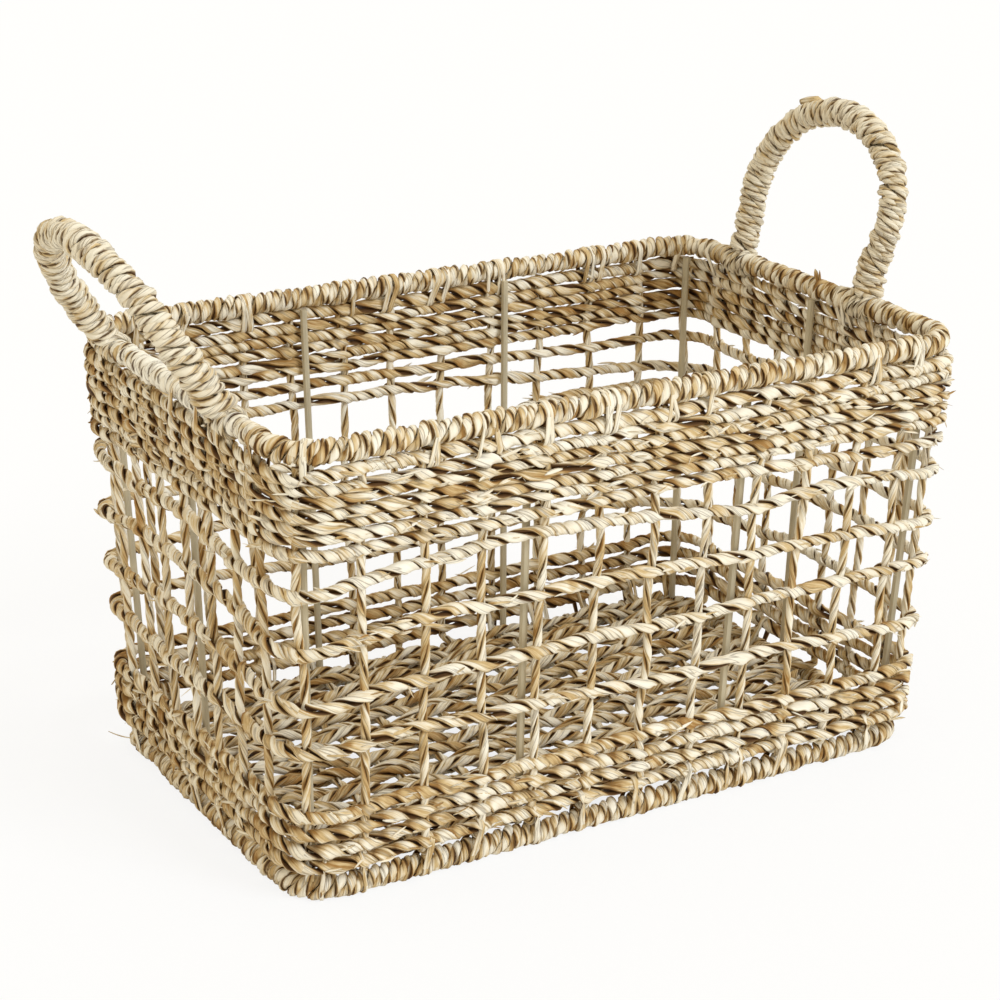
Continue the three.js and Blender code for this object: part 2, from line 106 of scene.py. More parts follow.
class StrandSizes(bpy.types.PropertyGroup):
    """The grass strands of the wall and the base."""

    band_width: length("Band strand width", 0.0053, "Width of a strand in the close rows under the rim")
    open_width: length("Open strand width", 0.0055, "Width of a strand in the open rows")
    low_width: length("Low strand width", 0.0061, "Width of a strand in the low rows")
    row_thickness: length("Row strand thickness", 0.0029, "Thickness of each strand of a row")
    row_radius: length("Row radius", 0.0017, "How far each strand lies from the middle of its row")
    row_opening: length("Row opening", 0.0031, "How far the strands part where a stake passes")
    corner_bulge: length("Corner bulge", 0.0022, "How far the rows stand off the corner stakes")
    slack_bulge: length("Slack bulge", 0.0045, "The same at the slack corner at the back left")
    stake_width: length("Stake strand width", 0.0036, "Width of each of the two strands of a stake")
    stake_thickness: length("Stake strand thickness", 0.0023, "Thickness of each strand of a stake")
    stake_radius: length("Stake radius", 0.0011, "How far each strand lies from the middle of its stake")
    stake_lay: length("Stake lay", 0.034, "Length of one full turn of a stake's strands")
    stake_lean: length("Stake lean", 0.002, "How far a stake strays to the side between rows")
    stake_swing: length("Stake swing", 0.0041, "How far the long stakes pass over and under the cross stakes")
    mat_swing: length("Mat swing", 0.0034, "How far the base strands pass over and under the stakes")


class WrapSizes(bpy.types.PropertyGroup):
    """The wrapping of rings and handles."""

    ring_radius: length("Ring wrap radius", 0.006, "Outer radius of the wrapping on the rings")
    ring_lead: length("Ring wrap lead", 0.0175, "Length of one full turn of the ring wrapping")
    ring_strands: whole("Ring strands", 3, "Strands wound side by side")
    cord_radius: length("Cord radius", 0.001, "How far each blade lies from the middle of its cord")
    cord_lay: length("Cord lay", 0.019, "Length of one full turn of a cord's two blades")
    blade_thickness: length("Blade thickness", 0.0025, "Thickness of each of the two blades of a cord")
    stitch_width: length("Stitch width", 0.0028, "Width of the blades that bind rows to rings")
    stitch_thickness: length("Stitch thickness", 0.0014, "Thickness of such a blade")
    stitch_reach: length("Stitch reach", 0.004, "How far such a blade goes past the middle of its row")
    handle_radius: length("Handle radius", 0.0084, "Outer radius of a wrapped handle")
    foot_swell: portion("Foot swell", 0.18, "How much thicker a front foot is")
    foot_reach: length("Foot reach", 0.022, "How far up the front foot is thicker")
    handle_foot: length("Handle foot", 0.006, "Height at which the handle's wrapping starts")
    straight_foot: length("Straight foot", 0.0128, "Height up to which a handle's feet are straight")
    left_rise: length("Left rise", 0.0895, "Height of the left handle along its lean")
    left_front_in: length("Left front foot in", 0.0, "How far this foot is bent towards the other")
    left_back_in: length("Left back foot in", -0.003, "How far this foot is bent towards the other")
    left_lean: angle("Left lean", math.radians(31.2), "Lean of the left handle")
    left_turn: length("Left turn", -0.0022, "How far its back leg leans out more than its front leg")
    left_bow: length("Left bow", -0.0018, "How far its legs bow outwards")
    right_rise: length("Right rise", 0.097, "Height of the right handle along its lean")
    right_front_in: length("Right front foot in", 0.011, "How far this foot is bent towards the other")
    right_back_in: length("Right back foot in", 0.005, "How far this foot is bent towards the other")
    right_lean: angle("Right lean", math.radians(13), "Lean of the right handle")
    wire_width: length("Wire width", 0.004, "Width of the wire in a handle")
    stub_share: portion("Stub place", 0.6, "Where the right handle has a cut end")
    lashing_radius: length("Lashing radius", 0.0067, "How far a lashing lies from the middle of the rim")
    lashing_turns: whole("Lashing turns", 4, "Turns of a lashing round the rim")
    lashing_width: length("Lashing width", 0.016, "Width of a lashing along the rim")


class BasketColours(bpy.types.PropertyGroup):
    """Dry grass from its lightest to its darkest, the painted shade between strands, and the painted wire."""

    bleached: colour("Bleached", (0.94, 0.91, 0.82), "The lightest blades")
    straw: colour("Straw", (0.86, 0.795, 0.66), "Most of the grass")
    tan: colour("Tan", (0.63, 0.47, 0.24), "Older blades")
    rust: colour("Rust", (0.35, 0.185, 0.05), "Brown blades and stains")
    # painted shade: laid into the grass deep between strands and on their hidden sides
    shade: colour("Shade", (0.085, 0.034, 0.005), "Grass deep between strands")
    handle_pale: colour("Handle pale", (0.88, 0.84, 0.73), "The lightest blades of the handles")
    handle_straw: colour("Handle straw", (0.80, 0.725, 0.58), "Most of the handles")
    wire_paint: colour("Wire paint", (0.60, 0.53, 0.38), "Paint of the wire frame")


# Lines and strands

LAST_SHARE = 0.999999  # just before the end of a line
ANY_PHASE = (0, 6)  # about one turn, in radians


class Grass(NamedTuple):
    """How a pair of strands looks."""

    tones: tuple = (-0.06, 0.06)  # the range of each strand's own tone
    vary: float = 0.12  # how much its width varies
    dim: float = 1.0  # painted shade: its lightness where the strands pass at the sides
    tone: float = 0.0
    edge: float = -0.6  # the sine of the angle below which its sides get painted shade


def unit(vectors):
    return vectors / np.linalg.norm(vectors, axis=-1, keepdims=True)


def smooth(share):
    return share * share * (3 - 2 * share)


def blend(first, second, share):
    return first * (1 - share) + second * share


def ease(x, places, values):
    """Values between places, joined by smooth steps."""
    i = np.clip(np.searchsorted(places, x, side="right") - 1, 0, len(places) - 2)
    share = smooth(np.clip((x - places[i]) / (places[i + 1] - places[i]), 0, 1))
    return blend(values[i], values[i + 1], share)


def drift(rng, shares, count, closed=False, columns=None):
    """Smooth random values from -1 to 1 along a strand, with a new one at each of count places."""
    count = max(int(count), 2)
    knots = rng.uniform(-1, 1, (count + 1, columns or 1))
    if closed:
        knots[-1] = knots[0]
    place = np.clip(shares, 0, LAST_SHARE) * count
    i = place.astype(int)
    share = smooth(place - i)[:, None]
    values = blend(knots[i], knots[i + 1], share)
    return values if columns else values[:, 0]


def travel(line, closed=False):
    """The direction along a line at each point, and the distance walked up to it."""
    if closed:
        forward = np.roll(line, -1, 0) - np.roll(line, 1, 0)
    else:
        forward = np.gradient(line, axis=0)
    steps = np.linalg.norm(np.diff(line, axis=0), axis=1)
    return unit(forward), np.concatenate(([0.0], np.cumsum(steps)))


class Strands:
    """Gathers strands of grass, each with the same number of sides, and makes one mesh of them."""

    ridge_depth, ridge_length = 0.1, 0.012
    groove_width, groove_wander, groove_length = 0.3, 0.6, 0.02
    tone_depth, tone_length = 0.22, 0.022
    tip_length = 0.006
    lit_from = 0.6  # the sine of the angle from which a strand has no painted shade
    flatness = 0.4  # how much of the ridges shows in its width

    def __init__(self, seed, sides=12):
        self.rng = np.random.default_rng(seed)
        self.sides = sides
        self.turns = (np.arange(sides) / sides - 0.25) * 2 * np.pi
        self.points, self.faces, self.uvs, self.grains = [], [], [], []
        self.start = 0

    def lay(self, line, out, width, thickness, closed=False, tone=0.0, lit=1.0, edge=-0.6,
            groove=0.3, tips=(1, 1)):
        """Adds a strand along the line, with its flat side towards out. Past edge its sides get painted
        shade, which lit deepens.
        """
        count = len(line)
        forward, along = travel(line, closed)
        total = along[-1]
        if closed:
            total = total + np.linalg.norm(line[0] - line[-1])
        shares = along / total
        thin = unit(out - (out * forward).sum(1, keepdims=True) * forward)
        wide = np.cross(thin, forward)
        rng = self.rng
        turns = self.turns[None]
        shape = 1 + self.ridge_depth * drift(rng, shares, total / self.ridge_length, closed, self.sides)
        middle = math.pi / 2 + self.groove_wander * drift(rng, shares, total / self.groove_length, closed)
        shape -= groove * np.exp(-(((turns - middle[:, None]) / self.groove_width) ** 2))
        size = np.ones(count)
        if not closed:
            for end, tip in zip((along, total - along), tips):
                size *= tip + (1 - tip) * np.clip(end / self.tip_length, 0, 1) ** 0.5
        across = np.reshape(width / 2 * size, (-1, 1)) * np.cos(turns)
        across = across * (1 - self.flatness + self.flatness * shape)
        over = np.reshape(thickness / 2 * size, (-1, 1)) * np.sin(turns) * shape
        rings = line[:, None] + wide[:, None] * across[..., None] + thin[:, None] * over[..., None]
        self._skin(rings, along, total, closed, np.mean(width) + np.mean(thickness))
        fade = self.tone_depth * drift(rng, shares, total / self.tone_length, closed)[:, None]
        # Painted shade: the strand's sides and back darken below edge, times lit. The second channel is the
        # strand's own tone.
        painted_side_light = np.clip((np.sin(turns) - edge) / (self.lit_from - edge), 0, 1)
        grain = np.ones((count, self.sides, 4))
        grain[..., 0] = painted_side_light * np.reshape(lit, (-1, 1))
        grain[..., 1] = 0.5 + np.reshape(tone, (-1, 1)) + fade
        grain[..., 2] = rng.uniform()
        self.grains.append(grain.reshape(-1, 4))

    def _skin(self, rings, along, total, closed, girth):
        count, sides = len(rings), self.sides
        spans = count if closed else count - 1
        i = np.arange(spans)[:, None]
        j = np.arange(sides)[None]
        ahead, beside = (i + 1) % count, (j + 1) % sides
        corners = [i * sides + j, i * sides + beside, ahead * sides + beside, ahead * sides + j]
        self.faces.append(np.stack(corners, axis=-1).reshape(-1, 4) + self.start)
        here, there = along[:spans, None], np.append(along, total)[1 : spans + 1, None]
        low, high = j / sides * girth, (j + 1) / sides * girth
        uv = [np.broadcast_arrays(*pair) for pair in ((here, low), (here, high), (there, high), (there, low))]
        self.uvs.append(np.stack([np.stack(pair, axis=-1) for pair in uv], axis=2).reshape(-1, 2))
        if not closed:
            for first, turned in ((0, True), ((count - 1) * sides, False)):
                k = np.arange(sides // 2 - 1)
                cap = np.stack([k, k + 1, sides - 2 - k, sides - 1 - k], axis=-1)
                self.faces.append((cap[:, ::-1] if turned else cap) + first + self.start)
                self.uvs.append(np.zeros((len(cap) * 4, 2)) + (along[0 if turned else -1], 0.0))
        self.points.append(rings.reshape(-1, 3))
        self.start += count * sides

    def end(self, point, towards, reach, width, tone=0.0, tips=(1, 0.3), bend=0.35):
        """Adds the loose end of a blade: a short curved sliver."""
        share = np.linspace(0, 1, 6)[:, None]
        curve = self.rng.uniform(-bend, bend, 3)
        line = point + (towards * share + curve * share**2) * reach
        self.lay(line, np.cross(towards, curve), width, width / 2.2, tone=tone, edge=-3, tips=tips)

    def finish(self, name, material, node, body="basket", slot="grass"):
        """Makes the mesh, and lets it stand for one of the frame's own nodes."""
        points, faces = np.concatenate(self.points), np.concatenate(self.faces)
        points[:, 2] = np.maximum(points[:, 2], 0.0)  # grass under the base ring lies flat on the floor
        mesh = bpy.data.meshes.new(name)
        mesh.vertices.add(len(points))
        mesh.vertices.foreach_set("co", points.astype(np.float32).ravel())
        mesh.loops.add(faces.size)
        mesh.loops.foreach_set("vertex_index", faces.astype(np.int32).ravel())
        mesh.polygons.add(len(faces))
        mesh.polygons.foreach_set("loop_start", np.arange(0, faces.size, 4, dtype=np.int32))
        mesh.uv_layers.new(name="strand")
        mesh.uv_layers["strand"].uv.foreach_set("vector", np.concatenate(self.uvs).astype(np.float32).ravel())
        grain = mesh.color_attributes.new("grain", "FLOAT_COLOR", "POINT")
        grain.data.foreach_set("color", np.concatenate(self.grains).astype(np.float32).ravel())
        mesh.update(calc_edges=True)
        mesh.validate()
        mesh.materials.append(material)
        piece = bpy.data.objects.new(name, mesh)
        bpy.context.scene.collection.objects.link(piece)
        select_only(piece)
        bpy.ops.object.shade_smooth()
        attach(piece, body)
        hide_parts(node)


def select_only(piece):
    bpy.ops.object.select_all(action="DESELECT")
    piece.select_set(True)
    bpy.context.view_layer.objects.active = piece


# The basket's own lines


def middle_height(node):
    """The height of a node's middle above the middle of the base ring."""
    low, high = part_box(node)
    return (low.z + high.z) / 2 - ORIGIN[2]


class WallLine:
    """A rounded rectangle seen from above, with distances from its front left corner."""

    def __init__(self, half_x, half_y, radius):
        points, angles = [], []
        edges = (-135, -90, 0, 90, 180, 225)
        signs = ((-1, -1), (1, -1), (1, 1), (-1, 1), (-1, -1))
        for first, last, (sx, sy) in zip(edges, edges[1:], signs):
            turn = np.radians(np.linspace(first, last, 24))
            middle = np.array((sx * (half_x - radius), sy * (half_y - radius)))
            points.append(middle + radius * np.stack([np.cos(turn), np.sin(turn)], axis=-1))
            angles.append(turn)
        self.points, self.angles = np.concatenate(points), np.concatenate(angles)
        _, self.distances = travel(self.points)
        self.length = self.distances[-1]
        self.straights = (half_x - radius, half_y - radius)
        self.bend = radius * np.pi / 4

    def at(self, distance):
        """Places and outward directions at distances along the line."""
        d = np.mod(distance, self.length)
        x = np.interp(d, self.distances, self.points[:, 0])
        y = np.interp(d, self.distances, self.points[:, 1])
        turn = np.interp(d, self.distances, self.angles)
        zero = np.zeros_like(x)
        return np.stack([x, y, zero], -1), np.stack([np.cos(turn), np.sin(turn), zero], -1)


class Basket:
    """Places on the basket, with heights from the middle of the base ring."""

    def __init__(self, sizes):
        self.sizes = sizes
        self.spaces = (sizes.long_spaces, sizes.short_spaces)
        self.shifts = (sizes.front_shift, 0.0, sizes.back_shift, 0.0)
        self.count = 2 * sum(self.spaces)
        self.corners = (0, sizes.long_spaces, sum(self.spaces), sizes.long_spaces + sum(self.spaces))

    def halves(self, z):
        up = z / RISE
        half_x = BASE_HALF_X + (RIM_HALF_X - BASE_HALF_X) * up
        return half_x, BASE_HALF_Y + (RIM_HALF_Y - BASE_HALF_Y) * up

    def wall(self, z):
        """The outline of the wall, which stands a little outside the rings."""
        sizes = self.sizes
        proud = sizes.proud_at_base + (sizes.proud_at_rim - sizes.proud_at_base) * z / RISE
        half_x, half_y = self.halves(z)
        return WallLine(half_x + proud, half_y + proud, sizes.corner_radius + proud)

    def stations(self, wall, z):
        """How far along the wall each stake stands, and the length of the wall."""
        places, start = [], 0.0
        for side in range(4):
            spaces, straight = self.spaces[side % 2], wall.straights[side % 2]
            middle = start + wall.bend + straight
            shares = 2 * np.arange(1, spaces) / spaces - 1
            leans = self.shifts[side] * (1 - shares**2)
            places += [start, *(middle + shares * self.halves(z)[side % 2] + leans)]
            start = middle + straight + wall.bend
        return np.array([*places, start])

    def crossings(self, y):
        """Where the cross stakes pass at y. They lean, because their back ends stand further left."""
        half_x, half_y = self.halves(self.sizes.base_level)
        shares = 2 * np.arange(1, self.spaces[0]) / self.spaces[0] - 1
        back = (y / half_y + 1) / 2
        shift = blend(self.shifts[0], -self.shifts[2], back)
        return shares * half_x + shift * (1 - shares**2)

    def stake_at(self, k, z):
        """The middle of a stake on the wall, and its outward direction."""
        wall = self.wall(z)
        point, out = wall.at(self.stations(wall, z)[k : k + 1])
        return point[0] + UP * z, out[0]

    def row_heights(self, node, z):
        """The height of a row at each stake, as the frame has it."""
        wall = self.wall(z)
        stakes, _ = wall.at(self.stations(wall, z))
        points = np.array([vertex.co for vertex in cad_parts[node].data.vertices]) - ORIGIN
        reach = 0.0075  # from the stake, seen from above
        heights = []
        for stake in stakes:
            near = points[np.hypot(*(points - stake)[:, :2].T) < reach][:, 2]
            heights.append((near.min() + near.max()) / 2)
        return np.array(heights)


def twist(line, out, side, radius_out, radius_side, phase):
    """A strand that winds round a line: its middle line and its outward directions."""
    c, s = np.cos(phase)[:, None], np.sin(phase)[:, None]
    shift = out * c * np.reshape(radius_out, (-1, 1)) + side * s * np.reshape(radius_side, (-1, 1))
    return line + shift, out * c + side * s


def ply(made, line, out, side, phase, spread, size, grass=Grass(), closed=False):
    """Two strands twisted round each other along a line. Where they pass at the sides they get painted shade.
    """
    width, thickness = size
    narrow, swell, width_length = 0.9, 0.18, 0.011
    thick_vary, thick_length = 0.2, 0.014
    rng = made.rng
    _, walked = travel(line, closed)
    total = walked[-1]
    shares = np.linspace(0, 1, len(line), endpoint=not closed)
    for strand in range(2):
        turned = phase + strand * np.pi
        middle, away = twist(line, out, side, *spread, turned)
        level = np.abs(np.cos(turned))
        vary = grass.vary * drift(rng, shares, total / width_length, closed)
        wide = width * (narrow + swell * level + vary)
        thick = thickness * (1 + thick_vary * drift(rng, shares, total / thick_length, closed))
        # Painted shade: a strand is dimmer where it passes at the side of the pair.
        lit = grass.dim + (1 - grass.dim) * level
        tone = grass.tone + rng.uniform(*grass.tones)
        made.lay(middle, away, wide, thick, closed=closed, tone=tone, lit=lit, edge=grass.edge)


def twine(made, line, out, stray, stray_length, lay, loosen, spread, size, grass):
    """Twists two strands along an open line that strays a little to the sides."""
    loosen_length = 0.03
    rng = made.rng
    forward, walked = travel(line)
    side = unit(np.cross(out, forward))
    total = walked[-1]
    shares = np.linspace(0, 1, len(line))
    line = line + side * (stray * drift(rng, shares, total / stray_length))[:, None]
    phase = rng.choice((-1, 1)) * 2 * np.pi * total / lay * shares + rng.uniform(*ANY_PHASE)
    phase = phase + loosen * drift(rng, shares, total / loosen_length)
    ply(made, line, out, side, phase, spread, size, grass)


def cords(made, wraps, line, out, side, turns, total, count, radius, closed, grass):
    """Winds cords side by side round a line. Each is two twisted blades, and bulges as it goes."""
    sway, bulge, loosen = 0.42, 0.0009, 1.2
    blade_share, blade_spread = 0.78, 0.2  # of the room that a cord has along the line
    rng = made.rng
    shares = np.linspace(0, 1, len(line), endpoint=not closed)
    scale = radius / wraps.ring_radius
    spread, thickness = wraps.cord_radius * scale, wraps.blade_thickness * scale
    axial = total / turns / count
    for number in range(count):
        swayed = sway * drift(rng, shares, turns * 1.3, closed)
        phase = 2 * np.pi * (turns * shares + number / count) + swayed
        lift = radius - spread - thickness / 2 + bulge * drift(rng, shares, turns * 2.2, closed)
        middle, away = twist(line, out, side, lift, lift, phase)
        forward, walked = travel(middle, closed)
        beside = unit(np.cross(away, forward))
        lays = round(walked[-1] / wraps.cord_lay)
        phase = 2 * np.pi * lays * shares + loosen * drift(rng, shares, lays, closed)
        phase = phase + rng.uniform(*ANY_PHASE)
        size = (axial * blade_share, thickness)
        ply(made, middle, away, beside, phase, (spread, axial * blade_spread), size, grass, closed)


# Materials

GRASS_RELIEF = 0.0006
PAINT_RELIEF = 0.00008


class Value:
    """A number that runs through a material. Sums and products with it add Math nodes."""

    def __init__(self, paint, socket):
        self.paint = paint
        self.socket = socket

    def _math(self, operation, first, second=0.0):
        return self.paint.node("ShaderNodeMath", {"operation": operation}, {0: first, 1: second})

    def __add__(self, other):
        return self._math("ADD", self, other)

    def __sub__(self, other):
        return self._math("SUBTRACT", self, other)

    def __rsub__(self, other):
        return self._math("SUBTRACT", other, self)

    def __mul__(self, other):
        return self._math("MULTIPLY", self, other)

    def between(self, low, high):
        """This value as a smooth share of the way from low to high."""
        settings = {"interpolation_type": "SMOOTHSTEP"}
        return self.paint.node("ShaderNodeMapRange", settings, {0: self, 1: low, 2: high})


class Paint:
    """Builds the nodes of one material, or of the world."""

    def __init__(self, owner):
        self.owner = owner
        owner.use_nodes = True
        self.tree = owner.node_tree
        self.tree.nodes.clear()

    def node(self, kind, settings=None, inputs=None, output=0):
        """Adds a node, sets it up, feeds its sockets and gives one of its outputs."""
        node = self.tree.nodes.new(kind)
        for name, value in (settings or {}).items():
            if name == "stops":
                for _ in range(len(value) - 2):
                    node.color_ramp.elements.new(0.5)
                for element, (place, shade) in zip(node.color_ramp.elements, value):
                    element.position = place
                    element.color = (*shade, 1)
            else:
                setattr(node, name, value)
        for name, value in (inputs or {}).items():
            if isinstance(value, Value):
                self.tree.links.new(value.socket, node.inputs[name])
            else:
                node.inputs[name].default_value = value
        return Value(self, node.outputs[output]) if node.outputs else node

    def mix(self, factor, first, second):
        return self.node("ShaderNodeMix", {"data_type": "RGBA"}, {0: factor, 6: first, 7: second}, output=2)

    def noise(self, vector, detail=2.0, roughness=0.5):
        inputs = {"Vector": vector, "Scale": 1.0, "Detail": detail, "Roughness": roughness}
        return self.node("ShaderNodeTexNoise", {}, inputs)

    def vector(self, x, y, z):
        return self.node("ShaderNodeCombineXYZ", {}, {0: x, 1: y, 2: z})

    def parts(self, kind, source):
        """The three parts of a vector or a colour."""
        node = self.tree.nodes.new(kind)
        self.tree.links.new(source.socket, node.inputs[0])
        return [Value(self, socket) for socket in node.outputs]

    def surface(self, base, roughness, height, depth, metallic=0.0, specular=0.3):
        bump = self.node("ShaderNodeBump", {}, {"Strength": 1.0, "Distance": depth, "Height": height})
        inputs = {"Base Color": base, "Roughness": roughness, "Metallic": metallic, "Normal": bump}
        shader = self.node("ShaderNodeBsdfPrincipled", {}, inputs)
        shader.socket.node.inputs["Specular IOR Level"].default_value = specular
        self.node("ShaderNodeOutputMaterial", {}, {"Surface": shader})
        return self.owner

    def before_white(self, seen, kind, whiteness, output):
        """Shows white instead to the camera's own rays, and to those that metal and glass pass on."""
        path = self.tree.nodes.new("ShaderNodeLightPath")
        rays = [Value(self, path.outputs[f"Is {ray} Ray"]) for ray in ("Camera", "Glossy", "Transmission")]
        white = self.node(kind, {}, {"Color": (1, 1, 1, 1), "Strength": 1.0})
        factor = (rays[0] + rays[1] + rays[2]) * whiteness
        mixed = self.node("ShaderNodeMixShader", {}, {0: factor, 1: seen, 2: white})
        self.node(output, {}, {"Surface": mixed})


def grass_paint(name, stops, shade):
    """Dry grass: fibres along each strand, blades of different tones, stains, and painted shade on the
    strands' sides, in the creases between blades and in the gaps.
    """
    paint = Paint(bpy.data.materials.new(name))
    u, v, _ = paint.parts("ShaderNodeSeparateXYZ", paint.node("ShaderNodeUVMap", {"uv_map": "strand"}))
    grain = paint.node("ShaderNodeAttribute", {"attribute_name": "grain"})
    painted_light_share, tone, seed = paint.parts("ShaderNodeSeparateColor", grain)
    fibres = paint.noise(paint.vector(u * 75, v * 1300, seed * 40), 3.0, 0.65)
    blades = paint.noise(paint.vector(u * 28, v * 620, seed * 90), 1.0)
    stains = paint.noise(paint.vector(u * 70, v * 160, seed * 70), 2.0)
    from_middle = paint.node("ShaderNodeMath", {"operation": "ABSOLUTE"}, {0: blades - 0.5})
    crease = 1.0 - from_middle.between(0.0, 0.035)
    streaks = (blades - 0.5) * 0.8 + (fibres - 0.5) * 1.05
    side_painted_shade = 0.36  # painted shade of a strand's sides, before they take the shade colour
    level = tone + streaks - stains.between(0.56, 0.78) * 0.3
    level = level + painted_light_share.between(0.2, 0.95) * side_painted_shade - side_painted_shade
    dry = paint.node("ShaderNodeValToRGB", {"stops": stops}, {0: level})
    # Painted shade in the creases between blades.
    dry = paint.mix(crease * 0.45, dry, (*shade, 1))
    # Painted shade on the sides and backs of strands, deep in the gaps.
    base = paint.mix(painted_light_share.between(0.04, 0.55), (*shade, 1), dry)
    relief = fibres * 0.9 + blades - crease * 0.35
    return paint.surface(base, fibres * 0.25 + 0.55, relief, GRASS_RELIEF)


def wire_paint(name, shade):
    """Matt paint on wire, a little uneven and rubbed."""
    paint = Paint(bpy.data.materials.new(name))
    place = paint.node("ShaderNodeTexCoord", {}, {}, output=3)
    x, y, z = paint.parts("ShaderNodeSeparateXYZ", place)
    patches = paint.noise(paint.vector(x * 90, y * 90, z * 25), 3.0)
    specks = paint.noise(paint.vector(x * 700, y * 700, z * 400), 2.0)
    dark = tuple(0.8 * part for part in shade)
    base = paint.mix(patches.between(0.35, 0.7), (*dark, 1), (*shade, 1))
    return paint.surface(base, patches * 0.2 + 0.42, specks, PAINT_RELIEF, metallic=0.15, specular=0.4)


def finishes(colours):
    """The three finishes, made once."""
    made = bpy.data.materials
    if "dry_grass" not in made:
        stops = [(0.0, colours.rust), (0.28, colours.tan), (0.55, colours.straw), (1.0, colours.bleached)]
        grass_paint("dry_grass", stops, colours.shade)
        stops = [(0.0, colours.tan), (0.35, colours.handle_straw), (1.0, colours.handle_pale)]
        grass_paint("pale_dry_grass", stops, colours.shade)
        wire_paint("matt_wire", colours.wire_paint)
    return made["dry_grass"], made["pale_dry_grass"], made["matt_wire"]


def settings_of(context):
    scene = context.scene
    paints = finishes(scene.basket_colours)
    return Basket(scene.basket_sizes), scene.basket_strands, scene.basket_wraps, paints


# Pieces


class PaintWires(bpy.types.Operator):
    """Paints the rings, the uprights and the wires in the handles"""

    bl_idname = "basket.wires"
    bl_label = "Wire frame"

    def execute(self, context):
        *_, (_, _, painted) = settings_of(context)
        wires = [node for name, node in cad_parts.items() if "wire" in name]
        if not wires:
            raise RuntimeError("the frame has no wires to paint")
        for node in wires:
            node.data.materials.clear()
            node.data.materials.append(painted)
            select_only(node)
            bpy.ops.object.shade_smooth_by_angle(angle=math.radians(50))
        return {"FINISHED"}


